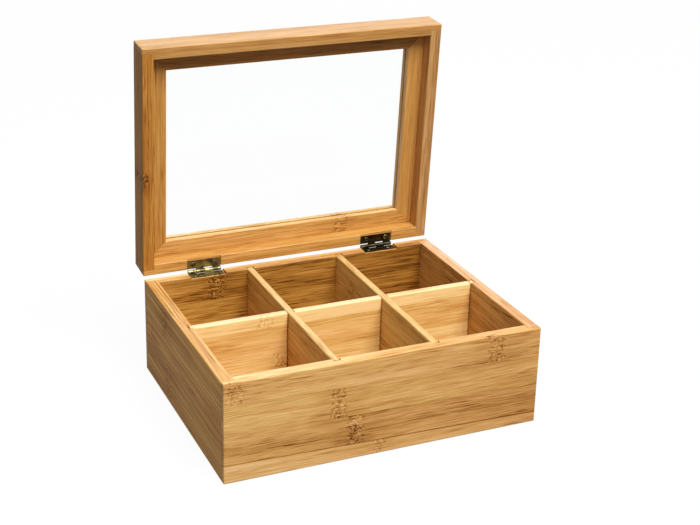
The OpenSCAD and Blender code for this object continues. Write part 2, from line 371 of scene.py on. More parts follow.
@dataclass(frozen=True)
class BambooFinish:
    """Laminated bamboo under a satin varnish: strips, fibres, cane rings, glue lines and end grain."""

    tones: Stops = (
        (0.0, (98, 55, 20)), (0.1, (144, 91, 38)), (0.25, (172, 116, 55)), (0.5, (208, 156, 90)),
        (0.75, (231, 187, 121)), (1.0, (249, 219, 166)),
    )
    yellow: Tint = (0.99, 1.02, 0.93, 1.0)
    rosy: Tint = (1.03, 0.98, 1.04, 1.0)
    band_hue: float = 1.6
    strip_hue: float = 0.5
    squarely: Range = (0.72, 0.9)
    strip_tone: float = 0.12
    strip_slide: float = 700.0
    strip_shift: float = 90.0
    wander: float = 5.0
    wander_scale: Range = (0.008, 0.04)
    bands: Fibres = Fibres(150.0, 6.5, 1.0, 0.36)
    streaks: Fibres = Fibres(60.0, 1.1, 1.5, 0.42)
    threads: Fibres = Fibres(18.0, 0.55, 1.0, 0.55)
    veins: Fibres = Fibres(110.0, 2.4, 1.0, -0.17)
    vein_edge: Range = (0.045, 0.005)
    vein_patches: Fibres = Fibres(35.0, 3.0, 0.0, cut=(-0.06, 0.1))
    dashes: Fibres = Fibres(15.0, 0.7, 0.0, -0.24, (0.08, 0.2))
    dashes_outside: float = 0.3
    dark_zones: Fibres = Fibres(80.0, 13.0, 0.0, -0.05, (-0.08, 0.16))
    hairs: Fibres = Fibres(9.0, 0.3, 0.0, -0.1, (0.12, 0.22))
    # Width and darkness of the painted shade line in the inside corner where another board stands against
    # it
    corner_shade_w: Range = (0.75, 0.25)
    corner_shade_tone: float = -0.6
    glue_w: float = 0.22
    glue_tone: float = -0.22
    seam_w: Range = (0.7, 0.2)
    seam_tone: float = -0.26
    ring_ragged: float = 11.0
    ragged_scale: Range = (0.1, 0.3)
    ring_edge: Range = (0.6, -1.2)
    halo_reach: Range = (2.6, 0.3)
    halo_tone: float = -0.1
    stroke_edge: Range = (0.09, 0.009)
    stroke_sizes: Range = (2.5, 2.3)
    stroke_seeds: Range = (0.0, 40.0)
    stroke_stretch: float = 1.3
    stroke_noise: Range = (1.5, 0.6)
    dark_stroke: float = -0.32
    light_stroke: float = 0.18
    patch_scale: Range = (0.25, 1 / 3)
    patch_seed: float = 9.0
    patch_edge: tuple[float, ...] = (0.3, 0.46, 0.25, 1.0)
    end_tone: float = -0.05
    pore_stretch: float = 0.02
    pore_scale: float = 1.1
    pore_edge: Range = (0.34, 0.12)
    pore_tone: float = -0.22
    roughness: float = 0.42
    specular: float = 0.28
    streak_shine: float = -0.35
    stroke_rough: float = 0.12
    relief: float = 0.0001
    relief_strength: float = 0.5
    streak_relief: float = 0.5
    thread_relief: float = 0.6
    stroke_relief: float = -0.7
    glue_relief: float = -0.5

    def material(self, name: str, look: BoardLook) -> Material:
        """Bamboo cut for one board.

        Args:
            name: The material's name.
            look: The board's grain.

        Returns:
            The material.
        """
        board = BoardGraph(name, look, self)
        return board.output(board.bamboo())


class BoardGraph(Graph):
    """The graph of one board's bamboo, which knows where a point lies on the board, in millimetres."""

    def __init__(self, name: str, look: BoardLook, finish: BambooFinish) -> None:
        """Starts the board's material with a point's place, face, ply and strip.

        Args:
            name: The material's name.
            look: The board's grain.
            finish: The bamboo.
        """
        super().__init__(name)
        self.look, self.finish = look, finish
        where = self.node("ShaderNodeTexCoord")
        place = self.scaled(where.outputs["Object"], 1 / MM)
        normal = where.outputs["Normal"]
        if look.on_lid:
            place = self.turned(place, (0.0, HINGE_Y_MM, HINGE_Z_MM), OPEN_DEG)
            normal = self.turned(normal, (0.0, 0.0, 0.0), OPEN_DEG)
        parts, facing = self.split(place), self.split(normal)
        self.along, self.across, self.through = (parts[axis] for axis in look.grain.value)
        self.end_face, self.rim_face = (
            self.ranged(self.math("ABSOLUTE", facing[axis]), *finish.squarely)
            for axis in look.grain.value[:2]
        )
        self.far_ply, self.ply_gap = 0.0, BEYOND_GLUE_MM
        if look.ply_joint is not None:
            from_joint = self.minus(self.through, look.ply_joint)
            self.far_ply = self.math("GREATER_THAN", from_joint, 0.0)
            self.ply_gap = self.math("ABSOLUTE", from_joint)
        level = self.plus(self.minus(self.across, look.strip_edge), self.along, -look.tilt)
        self.level = self.over(level, look.strip_w)
        self.strip = self.math("FLOOR", self.level)
        lot = self.node("ShaderNodeTexWhiteNoise", noise_dimensions="3D")
        self.feed(lot.inputs["Vector"], self.joined(self.strip, self.far_ply, look.seed))
        self.draw = self.split(lot.outputs["Color"])

    def flat(self, along: float, across: float, shift: float = 0.0) -> Socket:
        """The place on the board's face, scaled along and across, in the board's own stretch of noise."""
        parts = self.times(self.along, along), self.times(self.across, across)
        return self.joined(*parts, self.look.seed + shift)

    def fibres(self) -> dict[Fibres, Socket]:
        """Finds the board's fibres of every kind.

        Returns:
            Each kind's strength, in the order in which they add to the tone.
        """
        finish = self.finish
        sway = self.swing(self.flat(*finish.wander_scale), 1.0)
        bent = self.summed(self.across, (sway, finish.wander), (self.draw["Y"], finish.strip_shift))
        run = self.plus(self.along, self.draw["X"], finish.strip_slide)

        def strength(kind: Fibres) -> Socket:
            """Finds one kind of fibre.

            Args:
                kind: The kind.

            Returns:
                Its strength, about zero, or from 0 to 1 where it has a cut.
            """
            place = self.joined(
                self.over(run, kind.length * self.look.stretch), self.over(bent, kind.width),
                self.over(self.through, kind.width),
            )
            found = self.swing(place, kind.detail)
            return self.ranged(found, *kind.cut) if kind.cut else found

        veins = self.ranged(self.math("ABSOLUTE", strength(finish.veins)), *finish.vein_edge)
        dark_zones = strength(finish.dark_zones)
        dash_share = self.plus(finish.dashes_outside, dark_zones, 1.0 - finish.dashes_outside)
        return {
            finish.bands: strength(finish.bands),
            finish.streaks: strength(finish.streaks),
            finish.threads: strength(finish.threads),
            finish.veins: self.times(veins, strength(finish.vein_patches)),
            finish.dashes: self.times(strength(finish.dashes), dash_share),
            finish.dark_zones: dark_zones,
            finish.hairs: strength(finish.hairs),
        }

    def plain_tone(self, fibres: dict[Fibres, Socket]) -> Socket:
        """How light the board is without its rings and glue lines.

        Args:
            fibres: The strength of each kind.

        Returns:
            The tone, mostly from 0 to 1.
        """
        look, finish = self.look, self.finish
        return self.summed(
            look.tone - finish.strip_tone / 2,
            (self.draw["Z"], finish.strip_tone),
            (self.along, -look.fade),
            (self.far_ply, look.far_ply_tone),
            *((self.same(self.strip, number), change)
              for number, change in enumerate(look.strip_tones, look.first_tone)),
            *((strength, kind.weight * look.contrast) for kind, strength in fibres.items()),
            # Rims lighter: partly their edge grain, partly a painted sheen of the lamps and the varnish
            (self.rim_face, look.rim_tone_and_sheen),
            # Painted shade: a dark line along each inside corner where another board stands against this
            # one
            *((self.ranged(self.apart(self.along, line), *finish.corner_shade_w), finish.corner_shade_tone)
              for line in look.corner_shade_lines),
        )

    def glue_lines(self) -> Socket:
        """Finds the glue between strips and between plies.

        Returns:
            1 on a glue line, and 0 away from it.
        """
        in_strip = self.math("FRACT", self.level)
        edge = self.math("MINIMUM", in_strip, self.minus(1.0, in_strip))
        edge = self.times(edge, self.look.strip_w)
        return self.ranged(self.math("MINIMUM", edge, self.ply_gap), self.finish.glue_w, 0.0)

    def end_grain(self, tone: Socket) -> Socket:
        """Puts the vessels' cut ends into the tone of an end face.

        Args:
            tone: The tone so far.

        Returns:
            The tone with its end grain.
        """
        finish = self.finish
        pores = self.node("ShaderNodeTexVoronoi", voronoi_dimensions="3D")
        place = self.joined(self.times(self.along, finish.pore_stretch), self.across, self.through)
        self.feed(pores.inputs["Vector"], place)
        self.feed(pores.inputs["Scale"], finish.pore_scale)
        pore = self.ranged(pores.outputs["Distance"], *finish.pore_edge)
        return self.plus(tone, self.end_face, self.plus(finish.end_tone, pore, finish.pore_tone))

    def cane_rings(self) -> tuple[object, object]:
        """Finds where the cane's rings cross the board's strips.

        Returns:
            How far a point lies inside a ring, and how near it is to one, each from 0 to 1.
        """
        ring, halo = 0.0, 0.0
        outside, inside = self.finish.ring_edge
        far, near = self.finish.halo_reach
        ragged = self.times(self.swing(self.flat(*self.finish.ragged_scale), 1.0), self.finish.ring_ragged)
        for cane in self.look.cane_nodes:
            half = cane.length / 2
            edge = self.plus(self.apart(self.along, cane.along), ragged)
            own = self.times(self.same(self.strip, cane.strip), self.same(self.far_ply, cane.far_ply))
            own = self.times(own, cane.strength)
            within = self.times(own, self.ranged(edge, half + outside, half + inside))
            beside = self.times(own, self.ranged(edge, far * cane.length, near * cane.length))
            ring = self.math("MAXIMUM", ring, within)
            halo = self.math("MAXIMUM", halo, beside)
        return ring, halo

    def ring_strokes(self, ring: object) -> tuple[Socket, Socket]:
        """Draws the curled dark and light fibres inside a ring.

        Args:
            ring: How far a point lies inside a ring.

        Returns:
            Strength of the dark strokes and of the light ones.
        """
        finish = self.finish
        strokes = []
        for shift, size in zip(finish.stroke_seeds, finish.stroke_sizes):
            at = self.joined(
                self.over(self.along, finish.stroke_stretch * size), self.over(self.across, size),
                self.plus(self.look.seed + shift, self.through, 1 / size),
            )
            curl = self.apart(self.noise(at, *finish.stroke_noise), 0.5)
            strokes.append(self.times(ring, self.ranged(curl, *finish.stroke_edge)))
        patch = self.noise(self.flat(*finish.patch_scale, finish.patch_seed), 1.0)
        dark = self.times(strokes[0], self.ranged(patch, *finish.patch_edge))
        light = self.times(strokes[1], self.minus(1.0, dark))
        return dark, light

    def bamboo(self) -> Socket:
        """Puts the board's bamboo together.

        Returns:
            Its shader.
        """
        look, finish = self.look, self.finish
        fibres = self.fibres()
        ring, halo = self.cane_rings()
        dark_stroke, light_stroke = self.ring_strokes(ring)
        glue = self.glue_lines()
        off_seams = (self.times(self.apart(self.level, float(n)), look.strip_w) for n in look.dark_seams)
        tone = self.end_grain(self.summed(
            self.plain_tone(fibres),
            (halo, finish.halo_tone),
            (dark_stroke, finish.dark_stroke),
            (light_stroke, finish.light_stroke),
            (glue, finish.glue_tone),
            *((self.ranged(off_seam, *finish.seam_w), finish.seam_tone) for off_seam in off_seams),
        ))

        bands, strip_draw = fibres[finish.bands], self.minus(self.draw["X"], 0.5)
        hue = self.summed(look.warmth, (bands, finish.band_hue), (strip_draw, finish.strip_hue))
        tint = self.mixed(hue, finish.yellow, finish.rosy)
        colour = self.mixed(1.0, self.ramp(tone, finish.tones), tint, "MULTIPLY")
        # Rim colour paler and whiter: partly edge grain, partly a painted sheen of the lamps and the
        # varnish
        cast = self.mixed(self.rim_face, (*look.cast, 1.0), (*look.rim_cast_and_sheen, 1.0))

        streaks, threads = fibres[finish.streaks], fibres[finish.threads]
        height = self.summed(
            0.0, (streaks, finish.streak_relief), (threads, finish.thread_relief),
            (dark_stroke, finish.stroke_relief), (glue, finish.glue_relief),
        )
        rough = self.summed(
            finish.roughness, (streaks, finish.streak_shine), (dark_stroke, finish.stroke_rough)
        )
        return self.filled("ShaderNodeBsdfPrincipled", {
            "Base Color": self.mixed(1.0, colour, cast, "MULTIPLY"),
            "Roughness": rough,
            "Specular IOR Level": finish.specular,
            "Normal": self.bump(height, finish.relief_strength, finish.relief),
        })


@dataclass(frozen=True)
class BrassFinish:
    """Old brass plating: dull olive metal, darker and rougher in patches."""

    bright: Chip = (174, 160, 114)
    dull: Chip = (92, 82, 54)
    patch_mm: float = 5.0
    patch_noise: Range = (3.0, 0.4)
    specks_per_mm: float = 3.0
    speck_share: float = 0.3
    patina: Range = (0.3, 0.7)
    roughness: float = 0.2
    rougher: float = 0.1
    relief: float = 0.00004
    relief_strength: float = 0.06

    def material(self, name: str) -> Material:
        """The plating for one kind of fitting.

        Args:
            name: The material's name.

        Returns:
            The material.
        """
        g = Graph(name)
        where = g.node("ShaderNodeTexCoord")
        place = g.scaled(where.outputs["Object"], 1 / MM)
        patches = g.noise(g.scaled(place, 1 / self.patch_mm), *self.patch_noise)
        level = g.plus(patches, g.swing(g.scaled(place, self.specks_per_mm), 1.0), self.speck_share)
        colour = g.ramp(g.ranged(level, *self.patina), ((0.0, self.dull), (1.0, self.bright)))
        return g.output(g.filled("ShaderNodeBsdfPrincipled", {
            "Base Color": colour,
            "Metallic": 1.0,
            "Roughness": g.ranged(level, *self.patina, self.roughness + self.rougher, self.roughness),
            "Normal": g.bump(level, self.relief_strength, self.relief),
        }))


@dataclass(frozen=True)
class PaneFinish:
    """Clear sheet for the window: glass to the eye, and nothing to the light that reaches the wood."""

    tint: Tint = (0.985, 0.995, 0.99, 1.0)
    ior: float = 1.46
    reflection: Tint = (0.12, 0.12, 0.12, 1.0)

    def material(self, name: str) -> Material:
        """The clear sheet.

        Args:
            name: The material's name.

        Returns:
            The material.
        """
        g = Graph(name)
        shown = g.filled("ShaderNodeBsdfPrincipled", {
            "Base Color": self.tint,
            "Transmission Weight": 1.0,
            "Roughness": 0.0,
            "IOR": self.ior,
            "Specular Tint": self.reflection,
        })
        clear = g.filled("ShaderNodeBsdfTransparent", {"Color": self.tint})
        rays = g.node("ShaderNodeLightPath").outputs
        for passing in ("Is Diffuse Ray", "Is Shadow Ray"):
            shown = g.blended(rays[passing], shown, clear)
        return g.output(shown)


@dataclass
class Studio:
    """White sweep, soft lamps and the camera."""

    eye: Triple = (-0.3497, -0.7800, 0.4607)
    azimuth: float = 23.11
    elevation: float = 20.21
    roll: float = 1.01
    focal_px: float = 1406.9
    picture_w_px: float = 700.0
    sensor_mm: float = 36.0
    shift: Range = (0.05, -0.10)
    clip: Range = (0.01, 50.0)
    floor_half: float = 4.0
    floor_bounce: float = 0.14
    floor_gloss: float = 0.28
    floor_white: float = 0.95
    paper_white: float = 0.9
    sky_fill: float = 0.46
    lamps_aim: Triple = (0.0, 0.0, 0.06)
    key_from: Triple = (0.24, -1.15, 1.87)
    key_size: float = 1.1
    key_watts: float = 59.0
    back_from: Triple = (0.75, 2.0, 0.62)
    back_size: float = 1.0
    back_watts: float = 6.0

    def camera(self) -> None:
        """Sets the scene's camera where the photograph was taken from."""
        az, el, roll = (math.radians(v) for v in (self.azimuth, self.elevation, self.roll))
        ahead = Vector((math.sin(az) * math.cos(el), math.cos(az) * math.cos(el), -math.sin(el)))
        level = ahead.cross(Vector((0, 0, 1))).normalized()
        upright = level.cross(ahead)
        right = level * math.cos(roll) + upright * math.sin(roll)
        up = upright * math.cos(roll) - level * math.sin(roll)
        data = bpy.data.cameras.new("camera")
        data.sensor_width = self.sensor_mm
        data.lens = self.focal_px * self.sensor_mm / self.picture_w_px
        data.shift_x, data.shift_y = self.shift
        data.clip_start, data.clip_end = self.clip
        made = bpy.data.objects.new("camera", data)
        bpy.context.scene.collection.objects.link(made)
        turn = Matrix((right, up, -ahead)).transposed().to_4x4()
        made.matrix_world = Matrix.Translation(self.eye) @ turn
        bpy.context.scene.camera = made

    def lamp(self, name: str, place: Triple, size: float, watts: float) -> None:
        """Hangs a square soft lamp that looks at the middle of the box and isn't seen through the pane.

        Args:
            name: The lamp's name.
            place: Where it hangs.
            size: Its width.
            watts: Its power.
        """
        data = bpy.data.lights.new(name, "AREA")
        data.shape = "SQUARE"
        data.size = size
        data.energy = watts
        made = bpy.data.objects.new(name, data)
        made.visible_transmission = False
        bpy.context.scene.collection.objects.link(made)
        aim = Vector(self.lamps_aim) - Vector(place)
        made.matrix_world = Matrix.Translation(place) @ aim.to_track_quat("-Z", "Y").to_matrix().to_4x4()

    def floor(self) -> None:
        """Lays the white sweep under the box, which keeps a faint shadow."""
        bpy.ops.mesh.primitive_plane_add(size=2 * self.floor_half, location=(0, 0, 0))
        made = bpy.context.object
        made.name = "floor"
        g = Graph("white_sweep")
        rays = g.node("ShaderNodeLightPath").outputs
        mirrored = g.minus(rays["Is Glossy Ray"], rays["Is Transmission Ray"])
        mirrored = g.math("GREATER_THAN", mirrored, 0.5)
        glow = g.filled("ShaderNodeEmission", {"Strength": g.plus(1.0, mirrored, self.floor_gloss - 1.0)})
        lit_paper, shown_paper = (
            g.filled("ShaderNodeBsdfDiffuse", {"Color": (white, white, white, 1.0)})
            for white in (self.floor_bounce, self.paper_white)
        )
        shown = g.blended(self.floor_white, shown_paper, glow)
        made.data.materials.append(g.output(g.blended(g.seen_straight(), lit_paper, shown)))

    def sky(self) -> None:
        """White all round where it is seen, and a weak even fill on the object."""
        g = Graph("white_room", world=True)
        strength = g.math("MAXIMUM", g.seen_straight(), self.sky_fill)
        bpy.context.scene.world = g.output(g.filled("ShaderNodeBackground", {"Strength": strength}))

    def build(self) -> None:
        """Makes the whole studio."""
        self.camera()
        self.lamp("key_lamp", self.key_from, self.key_size, self.key_watts)
        self.lamp("back_lamp", self.back_from, self.back_size, self.back_watts)
        self.floor()
        self.sky()
        log.info("studio: camera, two lamps, floor and sky")


def only(*pieces: Piece) -> None:
    """Selects just these pieces, the first one active, or none at all.

    Args:
        pieces: The pieces.
    """
    bpy.ops.object.select_all(action="DESELECT")
    for piece in pieces:
        piece.select_set(True)
    if pieces:
        bpy.context.view_layer.objects.active = pieces[0]


def edit_whole(piece: Piece) -> None:
    """Opens a piece in edit mode with all of it selected.

    Args:
        piece: The piece.
    """
    only(piece)
    bpy.ops.object.mode_set(mode="EDIT")
    bpy.ops.mesh.select_all(action="SELECT")


def end_edit(turn_out: bool = False) -> None:
    """Leaves edit mode.

    Args:
        turn_out: First turns all of the piece's faces outwards.
    """
    if turn_out:
        bpy.ops.mesh.select_all(action="SELECT")
        bpy.ops.mesh.normals_make_consistent(inside=False)
    bpy.ops.object.mode_set(mode="OBJECT")


def settled(piece: Piece, move: Matrix | None = None) -> Piece:
    """Moves a piece and puts its place into its mesh.

    Args:
        piece: The piece.
        move: How it moves from where it stands, if it does.

    Returns:
        The piece, its object at the origin.
    """
    only(piece)
    if move is not None:
        piece.matrix_world = move @ piece.matrix_world
    bpy.ops.object.transform_apply(location=True, rotation=True, scale=True)
    return piece


def block(name: str, low: Triple, high: Triple) -> Piece:
    """A block between two corners, in millimetres.

    Args:
        name: Its name.
        low, high: Its corners.

    Returns:
        The block.
    """
    only()
    middle = [(a + b) / 2 * MM for a, b in zip(low, high)]
    size = [(b - a) * MM for a, b in zip(low, high)]
    bpy.ops.mesh.primitive_cube_add(size=1.0, location=middle, scale=size)
    made = bpy.context.object
    made.name = name
    return settled(made)


def pick_faces(piece: Piece, test: Callable[[Vector, Vector], bool]) -> None:
    """Opens a piece in edit mode with some of its faces selected.

    Args:
        piece: The piece.
        test: Tells from a face's middle, in millimetres, and its normal whether it is wanted.
    """
    only(piece)
    bpy.ops.object.mode_set(mode="EDIT")
    bpy.ops.mesh.select_mode(type="FACE")
    bpy.ops.mesh.select_all(action="DESELECT")
    bpy.ops.object.mode_set(mode="OBJECT")
    for face in piece.data.polygons:
        face.select = test(face.center / MM, face.normal)
    bpy.ops.object.mode_set(mode="EDIT")


def drawn_out(move: Vector, size: float = 1.0) -> None:
    """Extrudes the selected faces of the piece in edit mode, and sizes their ends about the Z axis.

    Args:
        move: How far they are drawn, in millimetres.
        size: How much wider their ends become.
    """
    bpy.ops.mesh.extrude_region_move(TRANSFORM_OT_translate={"value": move * MM})
    if size != 1.0:
        bpy.ops.transform.resize(value=(size, size, 1.0), center_override=(0.0, 0.0, 0.0))


def modified(piece: Piece, kind: str, **settings: object) -> Piece:
    """Finishes a piece with a modifier.

    Args:
        piece: The piece.
        kind: The modifier's type.
        settings: Its settings.

    Returns:
        The piece, with the modifier applied.
    """
    only(piece)
    made = piece.modifiers.new(kind.lower(), kind)
    for key, value in settings.items():
        setattr(made, key, value)
    bpy.ops.object.modifier_apply(modifier=made.name)
    return piece


def merged(piece: Piece, apart: float) -> Piece:
    """Merges a piece's points.

    Args:
        piece: The piece.
        apart: How close together points are merged, in millimetres.

    Returns:
        The piece.
    """
    edit_whole(piece)
    bpy.ops.mesh.remove_doubles(threshold=apart * MM)
    end_edit()
    return piece


def rounded(piece: Piece, radius: float, segments: int = 2, sharper: float = 40.0) -> Piece:
    """Rounds a piece's sharp edges and smooths its shading.

    Args:
        piece: The piece.
        radius: How far the rounding reaches, in millimetres.
        segments: Faces across the rounding.
        sharper: Angle in degrees from which an edge counts as sharp.

    Returns:
        The piece.
    """
    modified(
        piece, "BEVEL", width=radius * MM, segments=segments, limit_method="ANGLE",
        angle_limit=math.radians(sharper), miter_outer="MITER_ARC",
    )
    merged(piece, WELD_MM)
    bpy.ops.object.shade_smooth_by_angle(angle=math.radians(SMOOTH_DEG))
    return modified(piece, "WEIGHTED_NORMAL", keep_sharp=True)


def carved(piece: Piece, *cutters: Piece) -> Piece:
    """Cuts the cutters out of a piece and removes them.

    Args:
        piece: The piece.
        cutters: What is taken out.

    Returns:
        The piece.
    """
    for cutter in cutters:
        modified(piece, "BOOLEAN", operation="DIFFERENCE", solver="EXACT", object=cutter)
        bpy.data.objects.remove(cutter, do_unlink=True)
    return piece


def joined_pieces(name: str, *pieces: Piece) -> Piece:
    """One piece made of several.

    Args:
        name: Its name.
        pieces: What it is made of.

    Returns:
        The joined piece.
    """
    only(*pieces)
    bpy.ops.object.join()
    made = bpy.context.object
    made.name = name
    return made


def mount(piece: Piece, material: Material, body: str, node: str) -> None:
    """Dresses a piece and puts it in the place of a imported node.

    Args:
        piece: The piece.
        material: Its finish.
        body: The body that it rides on.
        node: The node that it stands for.
    """
    piece.data.materials.clear()
    piece.data.materials.append(material)
    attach(piece, body)
    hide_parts(node)
    log.info("%s stands for %s", piece.name, node)


def eased_board(node: str, radius: float = 0.22) -> Piece:
    """A packed board with every arris sanded round.

    Args:
        node: The board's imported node.
        radius: How far the sanding reaches, in millimetres.

    Returns:
        The board.
    """
    made = bpy.data.objects.new(f"{node}_board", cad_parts[node].data.copy())
    bpy.context.scene.collection.objects.link(made)
    edit_whole(merged(made, CAD_WELD_MM))
    bpy.ops.mesh.dissolve_limited(angle_limit=math.radians(FLAT_DEG))
    end_edit()
    return rounded(made, radius)


@dataclass
class CompartmentBox:
    """The box: four walls, the bottom and three dividers."""

    bamboo: BambooFinish
    looks: dict[str, BoardLook] = field(default_factory=lambda: {
        "front_panel": BoardLook(
            Grain.WIDE_UPRIGHT, 9.9, -78.0, 3.0, tilt=-0.0235, tone=0.585, fade=0.001,
            cast=(1.02, 0.99, 0.95), rim_tone_and_sheen=0.1, dark_seams=(0,), first_tone=-1,
            strip_tones=(0.15, -0.08, 0.02, 0.06),
            cane_nodes=(CaneNode(-101.4, 2, strength=0.8), CaneNode(-33.7, 1), CaneNode(-21.6, 0),
                        CaneNode(76.2, 2, strength=0.9), CaneNode(-5.0, -1, 8.0, 0.8)),
        ),
        "back_panel": BoardLook(
            Grain.WIDE_UPRIGHT, 8.6, 78.0, 8.0, tilt=0.01, tone=0.31, far_ply_tone=0.2, fade=0.0014,
            cast=(1.0, 1.05, 0.76), rim_tone_and_sheen=0.24,
            cane_nodes=(CaneNode(-59.6, 2, 13.0, 1.2), CaneNode(31.0, 1, 10.0, 0.7, True),
                        CaneNode(-78.0, 0, 9.0, 0.6, True)),
        ),
        "left_side_panel": BoardLook(
            Grain.DEEP_UPRIGHT, 4.3, -104.5, 14.0, tone=0.585, contrast=1.75, stretch=2.6,
            cast=(1.17, 1.0, 0.55), rim_tone_and_sheen=0.04, rim_cast_and_sheen=(1.02, 0.96, 0.92), strip_tones=(0.05, 0.03),
            cane_nodes=(CaneNode(35.8, 2), CaneNode(29.0, 0, strength=0.9)),
        ),
        "right_side_panel": BoardLook(
            Grain.DEEP_UPRIGHT, 7.1, 104.5, 21.0, tone=0.535, fade=-0.0007, cast=(1.0, 1.08, 1.06),
            rim_tone_and_sheen=0.16, rim_cast_and_sheen=(0.93, 0.86, 1.0),
            cane_nodes=(CaneNode(-41.0, 1, 10.0, 0.8, True), CaneNode(22.0, 2, 11.0, 0.5)),
        ),
        "bottom_panel": BoardLook(
            Grain.WIDE_FLAT, 3.0, None, 27.0,
            cane_nodes=(CaneNode(-40.0, 1, 9.0, 0.6), CaneNode(50.0, -2, 9.0, 0.6),
                        CaneNode(-70.0, -3, 9.0, 0.6)),
        ),
        "left_divider": BoardLook(
            Grain.DEEP_UPRIGHT, 5.5, None, 33.0, tone=0.58, cast=(1.0, 1.12, 1.04), rim_tone_and_sheen=0.16,
            rim_cast_and_sheen=(0.99, 1.08, 1.2),
            cane_nodes=(CaneNode(-52.0, 1, 11.0, 0.6),),
        ),
        "right_divider": BoardLook(
            Grain.DEEP_UPRIGHT, -2.0, None, 39.0, tone=0.64, cast=(1.0, 1.14, 1.05), rim_tone_and_sheen=0.12,
            rim_cast_and_sheen=(0.99, 1.07, 1.18),
            cane_nodes=(CaneNode(47.0, 2, 11.0, 0.6),),
        ),
        "cross_divider": BoardLook(
            Grain.WIDE_UPRIGHT, -1.0, None, 45.0, strip_w=20.0, tone=0.87, contrast=0.85,
            # Dark lines where the dividers stand against it: painted shade in the inside corners
            cast=(1.03, 1.0, 0.8), corner_shade_lines=(-35.7, 32.3, 100.3), strip_tones=(0.02, 0.02, -0.06, 0.13),
            rim_cast_and_sheen=(0.98, 0.94, 0.96),
            cane_nodes=(CaneNode(-51.5, 3, strength=0.9), CaneNode(-41.0, 1, strength=0.9)),
        ),
    })

    def build(self) -> None:
        """Makes and dresses every board of the box."""
        for node, look in self.looks.items():
            mount(eased_board(node), self.bamboo.material(f"{node}_bamboo", look), "box", node)


def swung_open() -> Matrix:
    """Finds how the shut lid turns to where it stands open.

    Returns:
        The turn about the hinges' pins.
    """
    axis = Vector((0.0, HINGE_Y_MM, HINGE_Z_MM)) * MM
    turn = Matrix.Rotation(math.radians(-OPEN_DEG), 4, "X")
    return Matrix.Translation(axis) @ turn @ Matrix.Translation(-axis)


@dataclass
class WindowLid:
    """The lid: four rails, four mitred bars and the clear pane."""

    bamboo: BambooFinish
    pane: PaneFinish
    looks: dict[str, BoardLook] = field(default_factory=lambda: {
        "lid_front_rail": BoardLook(
            Grain.WIDE_UPRIGHT, 67.0, -78.0, 52.0, strip_w=24.0, tone=0.54, contrast=0.6,
            cast=(0.9, 0.95, 1.04), rim_cast_and_sheen=(0.82, 0.78, 0.7),
        ),
        "lid_back_rail": BoardLook(
            Grain.WIDE_UPRIGHT, 67.0, 78.0, 57.0, strip_w=24.0, contrast=0.75, cast=LID_CAST,
            rim_tone_and_sheen=0.05, rim_cast_and_sheen=LID_CAST,
        ),
        "lid_left_rail": BoardLook(
            Grain.DEEP_UPRIGHT, 67.0, -104.5, 62.0, strip_w=24.0, tone=0.42, contrast=0.8,
            cast=(0.87, 0.77, 0.24), rim_cast_and_sheen=(0.96, 0.86, 0.54),
            cane_nodes=(CaneNode(11.0, 0, 7.0, 1.1),),
        ),
        "lid_right_rail": BoardLook(
            Grain.DEEP_UPRIGHT, 67.0, 104.5, 67.0, strip_w=24.0, tone=0.42, contrast=0.9,
            rim_cast_and_sheen=(0.85, 0.86, 0.95),
        ),
        # Its darker tone and cast paint the shade that the front rail casts on this bar when the lid stands
        # open
        "window_front_bar": BoardLook(
            Grain.WIDE_FLAT, -76.0, None, 72.0, tone=0.36, contrast=0.6, cast=(0.85, 0.82, 0.7),
        ),
        # Its rim by the window is painted pale: a painted highlight
        "window_back_bar": BoardLook(
            Grain.WIDE_FLAT, 60.0, None, 77.0, tone=0.52, contrast=0.85, cast=LID_CAST,
            rim_tone_and_sheen=0.2, rim_cast_and_sheen=(1.0, 1.03, 1.08),
            cane_nodes=(CaneNode(43.0, 0, 11.0, 0.9),),
        ),
        "window_left_bar": BoardLook(
            Grain.DEEP_FLAT, -104.0, None, 82.0, tone=0.44, contrast=0.75, cast=(0.94, 0.92, 0.7),
        ),
        # Its rim facing the opening lies in shade but is painted pale and whitish: a painted highlight
        "window_right_bar": BoardLook(
            Grain.DEEP_FLAT, 86.0, None, 87.0, contrast=0.6, cast=LID_CAST,
            rim_tone_and_sheen=0.3, rim_cast_and_sheen=(1.05, 1.12, 1.25),
        ),
    })

    pane_low: Triple = (-92.6, -66.1, 82.4)
    pane_high: Triple = (92.6, 66.1, 84.4)
    pane_edge: float = 0.3

    def clear_pane(self) -> Piece:
        """Makes the clear sheet with its ground edges.

        Returns:
            The sheet, standing open with the lid.
        """
        made = block("window_sheet", self.pane_low, self.pane_high)
        pick_faces(made, lambda middle, normal: abs(normal.z) > SQUARE_ON)
        bpy.ops.mesh.bevel(offset=self.pane_edge * MM, segments=2, affect="EDGES")
        end_edit()
        return settled(made, swung_open())

    def build(self) -> None:
        """Makes and dresses every piece of the lid."""
        for node, look in self.looks.items():
            bamboo = self.bamboo.material(f"{node}_bamboo", replace(look, on_lid=True))
            mount(eased_board(node), bamboo, "lid", node)
        mount(self.clear_pane(), self.pane.material("clear_sheet"), "lid", "window_pane")


